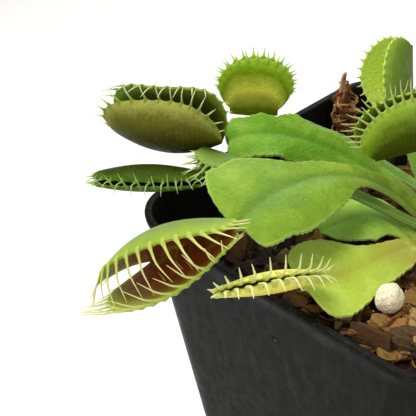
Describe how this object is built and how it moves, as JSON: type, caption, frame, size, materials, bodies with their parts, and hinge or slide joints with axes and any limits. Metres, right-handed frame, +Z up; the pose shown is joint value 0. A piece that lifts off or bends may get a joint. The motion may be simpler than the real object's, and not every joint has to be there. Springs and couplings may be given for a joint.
{
  "type": "potted venus flytrap",
  "caption": "Square black nursery pot of bark soil holding a Venus flytrap: a low rosette of flat winged leaf stalks, each ending in a two-lobed, toothed trap.",
  "frame": {"origin": "centre of the pot's flat underside", "axes": "+Z up; the pot's sides face X and Y; the picture looks towards -X and +Y, down on the plant"},
  "size_m": [0.1001, 0.1067, 0.1045],
  "materials": {
    "pot": "satin charcoal black",
    "soil": "moist brown bark and coir",
    "crown": "pale green leaf bases",
    "perlite": "white, rough and porous",
    "bark": "dry beige-grey bark",
    "moss": "dried brown sphagnum moss",
    "stalk": "smooth bright green leaf",
    "trap": "green to olive leaf with pale teeth"
  },
  "bodies": {
    "root": {"pot": "pot", "soil": "soil", "crown": "crown", "perlite_large": "perlite", "perlite_right": "perlite", "perlite_back": "perlite", "bark_chunk": "bark", "moss_tuft": "moss", "stalk_front": "stalk", "stalk_left": "stalk", "stalk_low": "stalk", "stalk_small": "stalk", "stalk_upright": "stalk", "stalk_inner": "stalk", "stalk_back": "stalk", "stalk_lower": "stalk", "stalk_tucked": "stalk", "stalk_right_a": "stalk", "stalk_right_b": "stalk", "stalk_right_c": "stalk", "trap_front": "trap", "trap_left": "trap", "trap_low": "trap", "trap_small": "trap", "trap_upright": "trap", "trap_inner": "trap", "trap_back": "trap", "trap_lower": "trap", "trap_right_a": "trap", "trap_right_b": "trap", "trap_right_c": "trap"}
  },
  "joints": []
}
